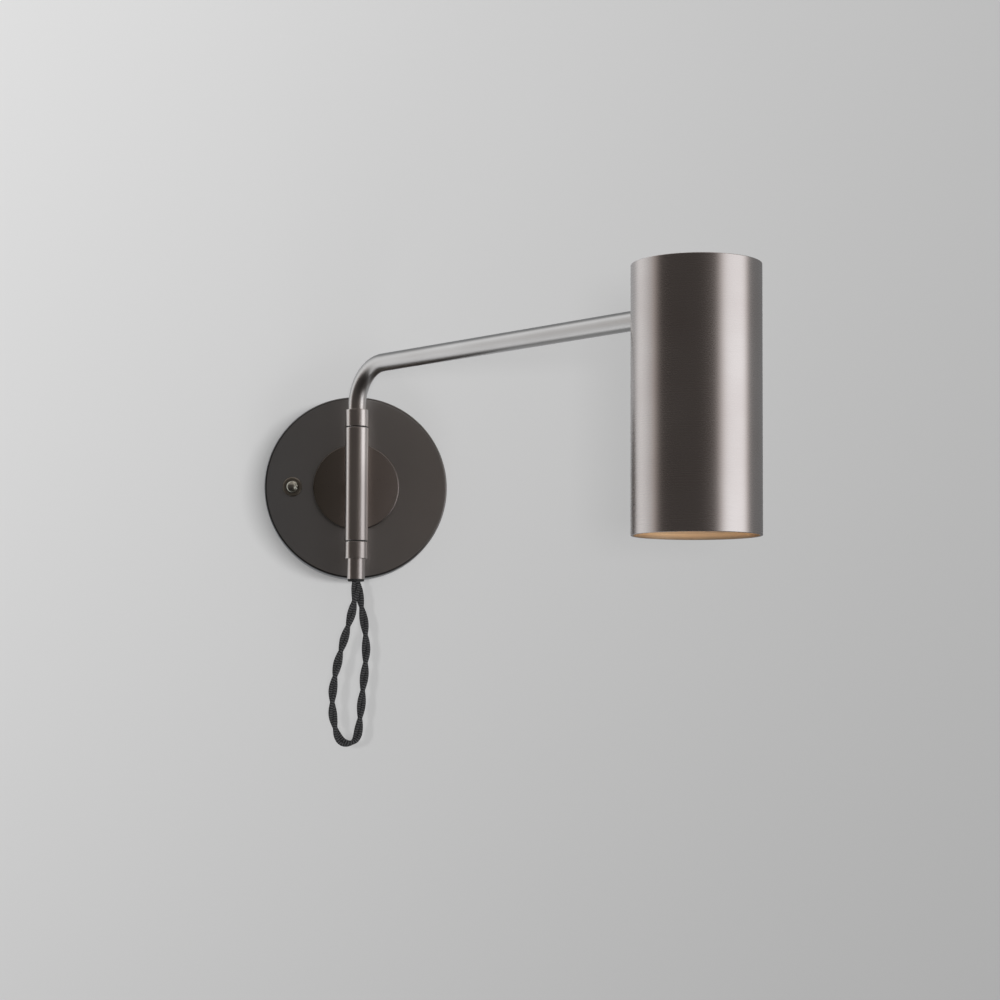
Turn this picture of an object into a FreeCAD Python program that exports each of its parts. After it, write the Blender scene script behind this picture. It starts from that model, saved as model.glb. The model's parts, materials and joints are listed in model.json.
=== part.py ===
"""Bedside wall reading lamp: a swinging, bent tube arm on a round wall plate, with a plain
cylinder shade that tilts on the arm's end.

Millimetres, +Z up. The wall is the plane y = 0 and the lamp stands out towards -Y. The origin
is the middle of the plate on the wall. Pieces of the plate are drawn with their own z as the
distance off the wall. Pieces of the arm and the shade are drawn with the arm along +X from the
swing axis, and are then swung to their place.
"""

import FreeCAD
import Part

import math
import os

Vector = FreeCAD.Vector

# ---------------------------------------------------------------- fits
seat_gap = 0.02        # radial, pressed, brazed or screwed together
running_gap = 0.05     # radial, shaft in its bearing
button_gap = 0.08      # radial, push button in its bezel
free_gap = 0.3         # between pieces that pass each other
hole_gap = 0.1         # radial, screw or bush through a drilled hole

# ---------------------------------------------------------------- flat sides of many-sided rounds
large_sides = 40       # wide rounds that show
small_sides = 32       # narrow rounds that show
hidden_sides = 10      # small pieces and holes that stay out of sight
washer_sides = 24
bore_sides = 10        # inside of the bent tube
lamp_sides = 28
terminal_sides = 8
cord_sides = 6
core_sides = 4

# ---------------------------------------------------------------- wall plate
plate_radius = 50.0
plate_depth = 18.0
plate_face = 2.0       # thickness of the front
plate_rim = 1.8        # thickness of the turned-back side
plate_edge = 1.2       # rounding of the front edge
edge_steps = 2
boss_radius = 23.5
boss_thickness = 3.5
boss_chamfer = 0.5

# ---------------------------------------------------------------- stand-off stem
stem_radius = 5.5
stem_reach = 10.1      # from the boss to the back of the barrel
stem_thread_radius = 5.0
stem_spigot_radius = 2.0
stem_tip = 1.5         # thread that shows behind its nut
washer_radius = 9.0
washer_thickness = 1.2
nut_across_flats = 14.0
nut_thickness = 3.4

# ---------------------------------------------------------------- bracket on the wall
bracket_width = 24.0
bracket_thickness = 1.5
bracket_bend = 1.0     # inside radius of the bent ears
bracket_ear = 13.0     # how far the ears reach off the wall
bracket_clearance = 0.4
wall_slot_spacing = 60.0
wall_slot_length = 10.0
wall_slot_width = 4.5
supply_hole_radius = 6.0
rim_screw_radius = 2.0
rim_screw_height = 8.0     # off the wall
rim_screw_sunk = 0.3
rim_screw_reach = 1.2      # past the inside of the ear
rim_screw_socket = 2.0     # across flats
socket_depth = 1.5
screw_stop = 0.2           # screws in the bracket end this far off the wall
earth_z = -18.0
earth_screw_radius = 2.0
earth_head_radius = 3.5
earth_head_height = 2.4
earth_washer_radius = 4.5
earth_washer_thickness = 0.8

# ---------------------------------------------------------------- terminal block
block_z = 18.0
block_length = 17.0        # along X, the way the wires run
block_height = 14.0        # along Z, across the two poles
block_base = 7.8           # base thickness off the bracket
block_rib = 3.2            # the ribs stand this much further
rib_width = 4.4
pole_pitch = 7.0
rib_pitch = 9.6
wire_way_radius = 1.8
wire_way_height = 5.0      # off the bracket
clamp_length = 13.0
clamp_wall = 0.6
clamp_screw_radius = 1.1
clamp_screw_sunk = 0.9
block_screw_radius = 1.5
block_head_radius = 2.5
block_head_height = 1.8

# ---------------------------------------------------------------- push switch
switch_inset = 15.2        # from the plate's edge to the button's axis
bezel_radius = 5.3
bezel_height = 1.4
bezel_chamfer = 0.5
bezel_thread_radius = 4.3
bezel_thread_length = 7.0
bezel_floor = 1.0
button_radius = 3.4
button_dome = 1.9          # height of the domed top
dome_steps = 4
button_proud = 0.5         # straight side that shows above the bezel
button_skirt = 4.3
button_stem_radius = 1.3
button_catch_radius = 2.2
button_catch = 1.0
button_travel = 1.5
switch_nut_flats = 11.0
switch_nut_thickness = 2.2
switch_body_radius = 5.75
switch_body_length = 4.5
switch_cavity_radius = 2.9
tag_spacing = 5.2
tag_size = (0.5, 2.0, 3.0)
spring_radius = 2.4        # to the middle of the wire
spring_wire_radius = 0.2
spring_turns = 2
spring_seat = 0.15         # between the end turns and what they press on

# ---------------------------------------------------------------- swing joint
barrel_radius = 6.3
barrel_length = 61.2
barrel_chamfer = 0.4
bush_wall = 0.65
bush_length = 8.0
bush_flange_radius = 5.85
bush_flange = 0.5
collar_radius = 6.15
collar_length = 9.2
collar_chamfer = 0.4
collar_screw_radius = 1.25

# ---------------------------------------------------------------- arm
tube_radius = 4.75
tube_wall = 1.0
tube_tail = 11.0           # tube below the lower collar
arm_height = 63.9
arm_reach = 244.0          # from the swing axis to the axis of the shade
arm_bend = 21.6
swing_angle = 51.6         # between the arm and the wall
end_bush_radius = 4.4
end_bush_lip = 1.2
end_bush_length = 6.0

# ---------------------------------------------------------------- tilt joint
stud_radius = 4.0
stud_bore = 2.65
stud_spigot = 10.0
stud_collar = 1.5
stud_flat = 3.4            # distance of the flat from the stud's axis
stud_tip = 1.4
saddle_radius = 6.25
outer_saddle = 2.6         # thickness on the joint's axis
inner_saddle_radius = 10.0
inner_saddle_middle = 3.4  # thickness on the joint's axis
fibre_washer = 0.5
stop_washer_thickness = 1.0
stop_ear_reach = 9.2
stop_ear_width = 1.8
stop_pin_radius = 0.8
stop_pin_offset = 8.2
stop_pin_depth = 2.2
wave_washer_radius = 5.9
wave_washer_height = 0.9
wave_washer_thickness = 0.4
swivel_nut_flats = 11.0
swivel_nut_thickness = 3.0

# ---------------------------------------------------------------- shade
shade_radius = 30.0
shade_wall = 1.2
shade_above = 20.8         # above the arm's axis
shade_below = 103.3
cap_thickness = 3.0
cap_step = 0.6             # width of the step that the cap sits on

# ---------------------------------------------------------------- lampholder and lamp
holder_drop = 6.0          # its top, below the arm's axis
holder_length = 28.0
holder_width = 18.0
holder_height = 21.0
holder_corner = 2.6        # chamfer of its upright edges
pillar_offset = 10.6
pillar_radius = 2.4
pillar_spigot_radius = 1.5
pillar_spigot = 1.8
holder_screw_radius = 1.5
holder_screw_grip = 6.0    # length inside the pillar
holder_head_radius = 2.7
holder_head_height = 2.0
holder_head_sunk = 3.0
lead_radius = 1.0
lead_bend = 2.4            # of every lead, to its middle
lead_straight = 0.4        # share of the way to the holder before the leads turn down
lead_dip = 0.8             # how far they have come down at the holder's edge
lead_spacing = 2.3         # where the leads leave the arm
lead_entry_offset = 4.2    # from the shade's axis to where they enter the holder
lead_entry_spacing = 7.0
lead_entry_depth = 1.5
pin_offset = 5.0
pin_radius = 2.4
pin_neck_radius = 1.5
pin_neck = 2.5
pin_head = 2.5
pin_socket_depth = 6.5
lamp_base_radius = 8.8
lamp_neck_radius = 12.5
lamp_base = 9.0
lamp_body = 43.5
lamp_radius = 25.0
lamp_rim = 6.0
lamp_wall = 1.4
lens_thickness = 1.6
lens_sunk = 0.8
lens_ledge = 1.0           # width of the ledge behind the lens

# ---------------------------------------------------------------- cord
cord_radius = 2.35         # the two twisted strands together
core_radius = 1.15
grommet_inset = 14.0       # from the plate's edge to the grommet's axis
grommet_neck_radius = 4.5
grommet_flange_radius = 5.5
grommet_front = 1.3
grommet_back = 1.2
tie_width = 3.5
tie_wall = 1.4
tie_head = (3.6, 2.6)
cord_inside = 2.8          # cord behind the tie, before the cores part
run_share = 0.45           # share of the shorter run that an arc takes
lead_level = 5.9           # off the wall, where the cores turn along it
tag_lead = 7.5             # straight lead at each switch tag
block_lead = 5.5           # straight lead where it enters the block

# ---------------------------------------------------------------- worked out from the above
plate_inside = plate_depth - plate_face
switch_x = switch_inset - plate_radius
grommet_z = grommet_inset - plate_radius
inner_radius = plate_radius - plate_rim
boss_front = plate_depth + boss_thickness
standoff = boss_front + stem_reach + barrel_radius
tube_bore = tube_radius - tube_wall
bush_radius = tube_radius + running_gap + bush_wall
barrel_end = barrel_length / 2
collar_start = barrel_end + bush_flange
collar_end = collar_start + collar_length
tube_bottom = -(collar_end + tube_tail)
cord_exit_z = tube_bottom - end_bush_lip
bezel_front = plate_depth + bezel_height
bezel_back = plate_depth - bezel_thread_length
button_shoulder = bezel_front + button_proud
skirt_back = button_shoulder - button_skirt
bezel_floor_front = bezel_back + bezel_floor
switch_back = bezel_back - switch_body_length
catch_front = bezel_back - free_gap
catch_back = catch_front - button_catch
cavity_back = catch_back - button_travel - free_gap
bracket_half = math.sqrt(inner_radius ** 2 - (bracket_width / 2) ** 2) - bracket_clearance
shade_near = arm_reach - shade_radius
stud_shoulder = shade_near - outer_saddle - fibre_washer
tube_end = stud_shoulder - stud_collar
inner_saddle_face = shade_near + shade_wall + inner_saddle_middle
stop_washer_near = inner_saddle_face + fibre_washer
wave_washer_near = stop_washer_near + stop_washer_thickness
swivel_nut_near = wave_washer_near + wave_washer_height
stud_end = swivel_nut_near + swivel_nut_thickness + stud_tip
shade_top = arm_height + shade_above
cap_bottom = shade_top - cap_thickness
holder_top = arm_height - holder_drop
holder_bottom = holder_top - holder_height
lamp_top = holder_bottom - free_gap
lamp_front = lamp_top - lamp_base - lamp_body
grommet_end = plate_inside - grommet_back
tie_end = grommet_end - tie_width
tail_end = tie_end - cord_inside
cord_meets_tail = plate_inside + grommet_front - grommet_back + 0.4

# The cord's free loop: down from the tube's lower end in front, round its fold and up behind
# the sleeve to the grommet. The first and last points follow the pieces that hold it.
cord_route = [
    (0.0, -standoff, cord_exit_z),
    (0.0, -standoff, -59.5),
    (-2.3, -38.2, -70.5),
    (-5.3, -38.2, -80.8),
    (-8.3, -38.0, -91.4),
    (-10.8, -37.6, -102.3),
    (-12.3, -37.0, -113.2),
    (-12.1, -36.3, -123.2),
    (-10.9, -35.7, -130.6),
    (-8.9, -35.2, -136.6),
    (-6.1, -34.8, -139.4),
    (-2.0, -34.3, -139.8),
    (1.2, -33.8, -137.2),
    (2.4, -33.1, -130.2),
    (3.3, -32.4, -120.5),
    (4.3, -31.7, -109.5),
    (5.5, -31.1, -98.5),
    (6.0, -30.6, -87.5),
    (5.2, -30.2, -76.5),
    (3.3, -29.9, -66.0),
    (1.6, -29.8, -57.2),
    (0.5, -29.9, -50.2),
    (0.1, -29.8, -43.7),
    (0.0, -27.0, -38.8),
    (0.0, -22.1, grommet_z),
    (0.0, -cord_meets_tail, grommet_z),
]

# The free part of the leads behind the plate, between the pieces that hold their ends.
switch_lead_route = [(-17.5, -5.1, -20.0)]
block_lead_route = [(14.8, -5.7, -22.0), (16.5, -6.1, 2.0)]
link_lead_route = [(-14.0, -6.5, 21.5)]


# ================================================================ shapes and places
def rod(radius, low, high, x=0.0, y=0.0):
    """A solid cylinder along z."""
    return Part.makeCylinder(radius, high - low, Vector(x, y, low))


def corners_at(radius, z, sides, x=0.0, y=0.0):
    """The corners of a polygon across z, with the first one repeated at the end."""
    turn = 2 * math.pi / sides
    corners = [Vector(x + radius * math.cos(k * turn), y + radius * math.sin(k * turn), z)
               for k in range(sides)]
    return corners + corners[:1]


def outline(radius, z, sides, x=0.0, y=0.0):
    return Part.makePolygon(corners_at(radius, z, sides, x, y))


def bar(radius, low, high, x=0.0, y=0.0, sides=hidden_sides):
    """A many-sided bar along z."""
    return Part.Face(outline(radius, low, sides, x, y)).extrude(Vector(0, 0, high - low))


def stacked(levels, sides):
    """A many-sided solid about z through (radius, z) levels, from the bottom up."""
    rings = [corners_at(radius, z, sides) for radius, z in levels]
    outlines = [rings[0], rings[-1]]
    for below, above in zip(rings, rings[1:]):
        outlines += [[a, b, d, c, a] for a, b, c, d in zip(below, below[1:], above, above[1:])]
    return Part.Solid(Part.Shell([Part.Face(Part.makePolygon(line)) for line in outlines]))


def bore(radius, low, high, sides=hidden_sides):
    """A many-sided bar whose flats touch a circle of this radius."""
    return bar(radius / math.cos(math.pi / sides), low, high, sides=sides)


def washer(outer, inner, low, high, sides=washer_sides):
    """A many-sided ring along z."""
    return bar(outer, low, high, sides=sides).cut(bar(inner, low, high, sides=sides))


def turned(profile):
    """A solid of revolution about z, from (radius, z) corners."""
    corners = [Vector(radius, 0, z) for radius, z in profile]
    outline = Part.makePolygon(corners + corners[:1])
    return Part.Face(outline).revolve(Vector(), Vector(0, 0, 1), 360)


def chamfered(radius, low, high, chamfer, sides):
    """A many-sided bar along z with both ends chamfered."""
    return stacked([(radius - chamfer, low), (radius, low + chamfer),
                    (radius, high - chamfer), (radius - chamfer, high)], sides)


def hexagon(across_flats, low, high):
    """A hexagonal bar along z."""
    return bar(across_flats / math.sqrt(3), low, high, sides=6)


def box(size_x, size_y, low, high, x=0.0, y=0.0):
    """A box centred on x and y."""
    corner = Vector(x - size_x / 2, y - size_y / 2, low)
    return Part.makeBox(size_x, size_y, high - low, corner)


def slot(width, length, low, high, y=0.0):
    """A round-ended slot that runs along y."""
    straight = length - width
    ends = [rod(width / 2, low, high, 0, y + side * straight / 2) for side in (-1, 1)]
    return box(width, straight, low, high, 0, y).fuse(ends)


def placed(shape, place, turn_axis, turn):
    """A copy of the shape, turned about an axis through its origin and then moved."""
    spot = FreeCAD.Placement(place, FreeCAD.Rotation(turn_axis, turn))
    return shape.transformed(spot.toMatrix(), True)


def on_wall(shape, x=0.0, z=0.0):
    """From the plate's own frame, z off the wall, to the lamp's."""
    return placed(shape, Vector(x, 0, z), Vector(1, 0, 0), 90)


def on_swing_axis(shape):
    """From the barrel's own frame to the lamp's, without the arm's swing."""
    return placed(shape, Vector(0, -standoff, 0), Vector(0, 0, 1), 0)


def swung(shape):
    """From the arm's frame to the lamp's."""
    return placed(shape, Vector(0, -standoff, 0), Vector(0, 0, 1), -swing_angle)


def along_arm(shape):
    """Lays a shape drawn along z on the arm's axis, within the arm's frame."""
    return placed(shape, Vector(0, 0, arm_height), Vector(0, 1, 0), 90)


def in_shade(shape):
    """Moves a shape drawn about z to the shade's axis, within the arm's frame."""
    return placed(shape, Vector(arm_reach, 0, 0), Vector(0, 0, 1), 0)


# ================================================================ bent paths
def towards(start, end, distance):
    """The point at a distance from start on the way to end."""
    way = end - start
    return start + way * (distance / way.Length)


def corner_arc(before, corner, after, setback):
    """The arc that rounds a corner and touches both runs at the setback from it."""
    first, last = towards(corner, before, setback), towards(corner, after, setback)
    chord_middle = (first + last) * 0.5
    inward = chord_middle - corner
    half_turn = math.pi / 2 - (before - corner).getAngle(after - corner) / 2
    radius = setback / math.tan(half_turn)
    depth = radius / math.cos(half_turn) - radius
    return Part.Arc(first, towards(corner, chord_middle, depth), last), radius, inward


def rounded_path(points, radius=None):
    """Straight runs joined by tangent arcs of one radius, or as large as the runs allow."""
    edges, radii, here = [], [], points[0]
    for before, corner, after in zip(points, points[1:], points[2:]):
        shorter = min((before - corner).Length, (after - corner).Length)
        setback = run_share * shorter
        if radius is not None:
            half_turn = math.pi / 2 - (before - corner).getAngle(after - corner) / 2
            setback = radius * math.tan(half_turn)
        arc, arc_radius, _ = corner_arc(before, corner, after, setback)
        edges += [Part.LineSegment(here, arc.StartPoint).toShape(), arc.toShape()]
        radii.append(arc_radius)
        here = arc.EndPoint
    edges.append(Part.LineSegment(here, points[-1]).toShape())
    return Part.Wire(edges), radii


def swept(path, start, direction, radius, sides):
    """A many-sided bar along a path, or a round one where sides is zero."""
    section = Part.Wire(Part.makeCircle(radius, start, direction))
    if sides:
        section = outline(radius, 0, sides)
        section.Placement = FreeCAD.Placement(start, FreeCAD.Rotation(Vector(0, 0, 1), direction))
    return path.makePipeShell([section], True, False)


def bar_along(points, radius, sides, bend=None):
    """A bar along straight runs joined by tangent arcs."""
    path, _ = rounded_path(points, bend)
    return swept(path, points[0], points[1] - points[0], radius, sides)


def helix_path(radius, low, high, turns):
    """A helix about z, as two tangent arcs for each quarter turn."""
    rise = (high - low) / (2 * math.pi * turns)

    def point(angle):
        return Vector(radius * math.cos(angle), radius * math.sin(angle), low + rise * angle)

    def heading(angle):
        way = Vector(-radius * math.sin(angle), radius * math.cos(angle), rise)
        return way * (1 / way.Length)

    edges = []
    for quarter in range(4 * turns):
        start, end = quarter * math.pi / 2, (quarter + 1) * math.pi / 2
        first, last, out, back = point(start), point(end), heading(start), heading(end)
        chord, spread = last - first, 2 * (1 - out.dot(back))
        along = chord.dot(out + back)
        handle = (math.sqrt(along ** 2 + spread * chord.dot(chord)) - along) / spread
        near, far = first + out * handle, last - back * handle
        joint = (near + far) * 0.5
        edges.append(corner_arc(first, near, joint, handle)[0].toShape())
        edges.append(corner_arc(joint, far, last, handle)[0].toShape())
    return Part.Wire(edges), point(0), heading(0)


# ================================================================ wall plate
def wall_plate():
    """A pan with a plain face; its front edge is rounded in short steps."""
    steps = [k * math.pi / 2 / edge_steps for k in range(edge_steps + 1)]
    edge = [(plate_radius - plate_edge * (1 - math.cos(turn)),
             plate_depth - plate_edge * (1 - math.sin(turn))) for turn in steps]
    pan = turned([(0, 0), (plate_radius, 0)] + edge + [(0, plate_depth)])
    drilled = [
        bore(inner_radius, 0, plate_inside, large_sides),
        bar(stem_thread_radius + hole_gap, 0, plate_depth),
        bar(bezel_thread_radius + hole_gap, 0, plate_depth, switch_x),
        bar(grommet_neck_radius + seat_gap, 0, plate_depth, 0, grommet_z),
        across_rim(rim_screw_radius + hole_gap, -plate_radius, plate_radius),
    ]
    return on_wall(pan.cut(drilled))


def across_rim(radius, low, high):
    """A bar across the plate from rim to rim, at the height of the rim screws."""
    return placed(bar(radius, low, high), Vector(0, 0, rim_screw_height), Vector(1, 0, 0), -90)


def boss_disc():
    disc = stacked([(boss_radius, plate_depth), (boss_radius, boss_front - boss_chamfer),
                    (boss_radius - boss_chamfer, boss_front)], large_sides)
    return on_wall(disc.cut(bar(stem_thread_radius + hole_gap, plate_depth, boss_front)))


def standoff_stem():
    """Threaded behind the boss, coped to the barrel in front, with a spigot in its wall."""
    nut_back = plate_inside - washer_thickness - nut_thickness
    post = bar(stem_thread_radius, nut_back - stem_tip, boss_front)
    post = post.fuse(bar(stem_radius, boss_front, standoff, sides=small_sides))
    post = on_wall(post).cut(barrel_envelope(barrel_radius + seat_gap))
    spigot_front = standoff - tube_radius - 2 * free_gap
    return post.fuse(on_wall(bar(stem_spigot_radius, boss_front, spigot_front)))


def barrel_envelope(radius):
    return on_swing_axis(rod(radius, -barrel_end, barrel_end))


def stem_washer():
    return on_wall(washer(washer_radius, stem_thread_radius + hole_gap,
                          plate_inside - washer_thickness, plate_inside, hidden_sides))


def stem_nut():
    front = plate_inside - washer_thickness
    back = front - nut_thickness
    nut = hexagon(nut_across_flats, back, front)
    return on_wall(nut.cut(bar(stem_thread_radius + seat_gap, back, front)))


# ================================================================ bracket and its screws
def wall_bracket():
    """A strip with both ends bent up into ears that the rim screws bite."""
    half, thick, ear = bracket_half, bracket_thickness, bracket_ear
    outline = [
        (-half, 0), (half, 0), (half, ear), (half - thick, ear), (half - thick, thick),
        (thick - half, thick), (thick - half, ear), (-half, ear), (-half, 0),
    ]
    side = -bracket_width / 2
    profile = Part.Face(Part.makePolygon([Vector(side, y, z) for y, z in outline]))
    strip = profile.extrude(Vector(bracket_width, 0, 0))
    strip = strip.makeFillet(bracket_bend + thick, bend_edges(strip, half, 0))
    strip = strip.makeFillet(bracket_bend, bend_edges(strip, half - thick, thick))
    cuts = [slot(wall_slot_width, wall_slot_length, 0, thick, end * wall_slot_spacing / 2)
            for end in (-1, 1)]
    cuts += [
        rod(supply_hole_radius, 0, thick),
        bar(block_screw_radius + seat_gap, 0, thick, 0, block_z),
        bar(earth_screw_radius + seat_gap, 0, thick, 0, earth_z),
        across_rim(rim_screw_radius + seat_gap, -half, half),
    ]
    return on_wall(strip.cut(cuts))


def bend_edges(strip, y, z):
    """The two long edges across the strip at one distance from its middle."""
    close = 1e-6
    return [
        edge for edge in strip.Edges
        if all(abs(abs(v.Y) - y) < close and abs(v.Z - z) < close for v in edge.Vertexes)
        and abs(edge.Length - bracket_width) < close
    ]


def rim_screws():
    outer = plate_radius - rim_screw_sunk
    inner = bracket_half - bracket_thickness - rim_screw_reach
    screws = []
    for side in (0, 180):
        screw = bar(rim_screw_radius, inner, outer)
        screw = screw.cut(hexagon(rim_screw_socket, outer - socket_depth, outer))
        screw = placed(screw, Vector(), Vector(1, 0, 0), -90)
        screws.append(placed(screw, Vector(0, 0, rim_screw_height), Vector(0, 0, 1), side))
    return on_wall(Part.makeCompound(screws))


def headed_screw(shank, head, tip, seat, head_height, y=0.0):
    """A screw along z with its head on its seat; a negative height puts the head below."""
    low, high = sorted((seat, seat + head_height))
    return bar(shank, min(tip, low), max(tip, high), 0, y).fuse(bar(head, low, high, 0, y))


def earth_washer():
    return on_wall(washer(earth_washer_radius, earth_screw_radius + hole_gap, bracket_thickness,
                          bracket_thickness + earth_washer_thickness, hidden_sides), 0, earth_z)


def earth_screw():
    seat = bracket_thickness + earth_washer_thickness
    return on_wall(headed_screw(earth_screw_radius, earth_head_radius, screw_stop, seat,
                                earth_head_height), 0, earth_z)


# ================================================================ terminal block
def block_spots():
    """The middles of the four terminal screws, about the block's own middle."""
    return [(x * rib_pitch / 2, y * pole_pitch / 2) for x in (-1, 1) for y in (-1, 1)]


def wire_way(radius, length, pole):
    """A bar along one pole of the block."""
    height = bracket_thickness + wire_way_height
    middle = Vector(0, pole * pole_pitch / 2, height)
    way = bar(radius, -length / 2, length / 2, sides=terminal_sides)
    return placed(way, middle, Vector(0, 1, 0), 90)


def terminal_block():
    """A base with a rib across it over each pair of screws."""
    base_top = bracket_thickness + block_base
    rib_top = base_top + block_rib
    block = box(block_length, block_height, bracket_thickness, base_top)
    block = block.fuse([box(rib_width, block_height, bracket_thickness, rib_top,
                            side * rib_pitch / 2) for side in (-1, 1)])
    well = bracket_thickness + wire_way_height
    cuts = [bar(clamp_screw_radius + free_gap, well, rib_top, x, y, terminal_sides)
            for x, y in block_spots()]
    cuts += [wire_way(wire_way_radius, block_length, pole) for pole in (-1, 1)]
    cuts.append(bar(block_screw_radius + hole_gap, bracket_thickness, base_top))
    return on_wall(block.cut(cuts), 0, block_z)


def terminal_clamps():
    """Two brass tubes, each with two tapped holes for its screws."""
    clamps = []
    outer = wire_way_radius - seat_gap
    for pole in (-1, 1):
        clamp = wire_way(outer, clamp_length, pole)
        clamp = clamp.cut(wire_way(outer - clamp_wall, clamp_length, pole))
        clamp = clamp.cut([clamp_screw(clamp_screw_radius + seat_gap, x, y)
                           for x, y in block_spots()])
        clamps.append(clamp)
    return on_wall(Part.makeCompound(clamps), 0, block_z)


def clamp_screw(radius, x, y):
    axis_height = bracket_thickness + wire_way_height
    top = bracket_thickness + block_base + block_rib - clamp_screw_sunk
    return bar(radius, axis_height + wire_way_radius - clamp_wall, top, x, y, terminal_sides)


def terminal_screws():
    screws = [clamp_screw(clamp_screw_radius, x, y) for x, y in block_spots()]
    return on_wall(Part.makeCompound(screws), 0, block_z)


def block_screw():
    seat = bracket_thickness + block_base
    return on_wall(headed_screw(block_screw_radius, block_head_radius, screw_stop, seat,
                                block_head_height), 0, block_z)


# ================================================================ push switch
def switch_bezel():
    """A ring on the plate's face, on a threaded sleeve with a floor."""
    flange = stacked([(bezel_radius, plate_depth), (bezel_radius, bezel_front - bezel_chamfer),
                      (bezel_radius - bezel_chamfer, bezel_front)], washer_sides)
    sleeve = bar(bezel_thread_radius, bezel_back, plate_depth)
    return on_wall(flange.fuse(sleeve).cut([
        bore(button_radius + button_gap, bezel_floor_front, bezel_front, washer_sides),
        bar(button_stem_radius + free_gap, bezel_back, bezel_floor_front),
    ]), switch_x)


def switch_button():
    """A domed cap on a stem, whose catch holds it in behind the bezel's floor."""
    sphere = (button_radius ** 2 + button_dome ** 2) / (2 * button_dome)
    middle = button_shoulder + button_dome - sphere
    edge = math.asin(button_radius / sphere)
    turns = [edge * (1 - k / dome_steps) for k in range(dome_steps)]
    dome = [(sphere * math.sin(turn), middle + sphere * math.cos(turn)) for turn in turns]
    return on_wall(stacked([(button_radius, skirt_back)] + dome, washer_sides).fuse([
        bar(button_stem_radius, catch_front, skirt_back),
        bar(button_catch_radius, catch_back, catch_front),
    ]), switch_x)


def switch_spring():
    inset = spring_seat + spring_wire_radius
    path, start, way = helix_path(spring_radius, bezel_floor_front + inset, skirt_back - inset,
                                  spring_turns)
    return on_wall(swept(path, start, way, spring_wire_radius, core_sides), switch_x)


def switch_nut():
    back = plate_inside - switch_nut_thickness
    nut = hexagon(switch_nut_flats, back, plate_inside)
    return on_wall(nut.cut(bar(bezel_thread_radius + seat_gap, back, plate_inside)), switch_x)


def switch_body():
    body = bar(switch_body_radius, switch_back, bezel_back)
    cavity = bar(switch_cavity_radius, cavity_back, bezel_back)
    return on_wall(body.cut(cavity), switch_x)


def switch_tags():
    thick, wide, long = tag_size
    tags = [box(thick, wide, switch_back - long, switch_back, 0, side * tag_spacing / 2)
            for side in (-1, 1)]
    return on_wall(Part.makeCompound(tags), switch_x)


# ================================================================ swing joint
def pivot_barrel():
    barrel = chamfered(barrel_radius, -barrel_end, barrel_end, barrel_chamfer, small_sides)
    seat = bush_radius + seat_gap
    depth = bush_length + seat_gap
    barrel = barrel.cut([bar(tube_radius + free_gap, -barrel_end, barrel_end),
                         bar(seat, barrel_end - depth, barrel_end, sides=washer_sides),
                         bar(seat, -barrel_end, depth - barrel_end, sides=washer_sides)])
    spigot_hole = on_wall(bar(stem_spigot_radius + seat_gap, boss_front, standoff))
    return on_swing_axis(barrel).cut(spigot_hole)


def flanged_bush(side):
    """A bush in one end of the barrel: side is 1 for the upper one and -1 for the lower."""
    inner_end, end, outer_end = [side * z for z in (barrel_end - bush_length, barrel_end,
                                                    barrel_end + bush_flange)]
    sleeve = bar(bush_radius, *sorted((inner_end, end)), sides=washer_sides)
    flange = bar(bush_flange_radius, *sorted((end, outer_end)), sides=small_sides)
    hole = bore(tube_radius + running_gap, *sorted((inner_end, outer_end)), washer_sides)
    return on_swing_axis(sleeve.fuse(flange).cut(hole))


def collar(side):
    """A locking collar on the tube, with a tapped hole that faces back towards the wall."""
    low, high = sorted((side * collar_start, side * collar_end))
    body = chamfered(collar_radius, low, high, collar_chamfer, small_sides)
    return swung(body.cut([bore(tube_radius + seat_gap, low, high, washer_sides),
                           collar_screw(side, collar_screw_radius + seat_gap, collar_radius)]))


def collar_screw(side, radius, reach):
    middle = Vector(0, 0, side * (collar_start + collar_length / 2))
    return placed(bar(radius, tube_radius, reach), middle, Vector(0, 1, 0), -90)


def collar_screws():
    sunk = collar_radius - hole_gap
    return swung(Part.makeCompound([collar_screw(side, collar_screw_radius, sunk)
                                    for side in (-1, 1)]))


# ================================================================ arm
def arm_line(low, high):
    """The arm's centre line: up the swing axis, round the bend and out."""
    return [Vector(0, 0, low), Vector(0, 0, arm_height), Vector(high, 0, arm_height)]


def arm_tube():
    """Round outside; the bore has flat sides that touch a circle of its nominal radius."""
    line = arm_line(tube_bottom, tube_end)
    outside = bar_along(line, tube_radius, 0, arm_bend)
    corner = tube_bore / math.cos(math.pi / bore_sides)
    return swung(outside.cut(bar_along(line, corner, bore_sides, arm_bend)))


def arm_lead():
    """The cord inside the arm, from its lower end to the end of the stud."""
    line = arm_line(cord_exit_z, stud_end)
    return swung(bar_along(line, cord_radius - hole_gap / 2, cord_sides, arm_bend))


def cord_bush():
    """A rubber bush in the tube's lower end."""
    top, round_off = tube_bottom + end_bush_length, end_bush_lip / 3
    edge = cord_exit_z + round_off
    body = bar(tube_bore - seat_gap, tube_bottom, top, sides=bore_sides).fuse([
        bar(end_bush_radius, edge, tube_bottom, sides=washer_sides),
        stacked([(end_bush_radius - round_off, cord_exit_z), (end_bush_radius, edge)],
                washer_sides),
    ])
    return swung(body.cut(bore(cord_radius + running_gap, cord_exit_z, top)))


# ================================================================ tilt joint
def swivel_stud():
    """Brazed into the tube's end; the shade hangs and turns on its threaded part."""
    stud = bar(tube_bore - seat_gap, tube_end - stud_spigot, tube_end, sides=washer_sides)
    stud = stud.fuse([bar(tube_radius, tube_end, stud_shoulder, sides=small_sides),
                      bar(stud_radius, stud_shoulder, stud_end, sides=washer_sides)])
    hole = bar(stud_bore, tube_end - stud_spigot, stud_end)
    return swung(along_arm(stud.cut([hole, flat_cut(stud_flat, inner_saddle_face)])))


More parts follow.
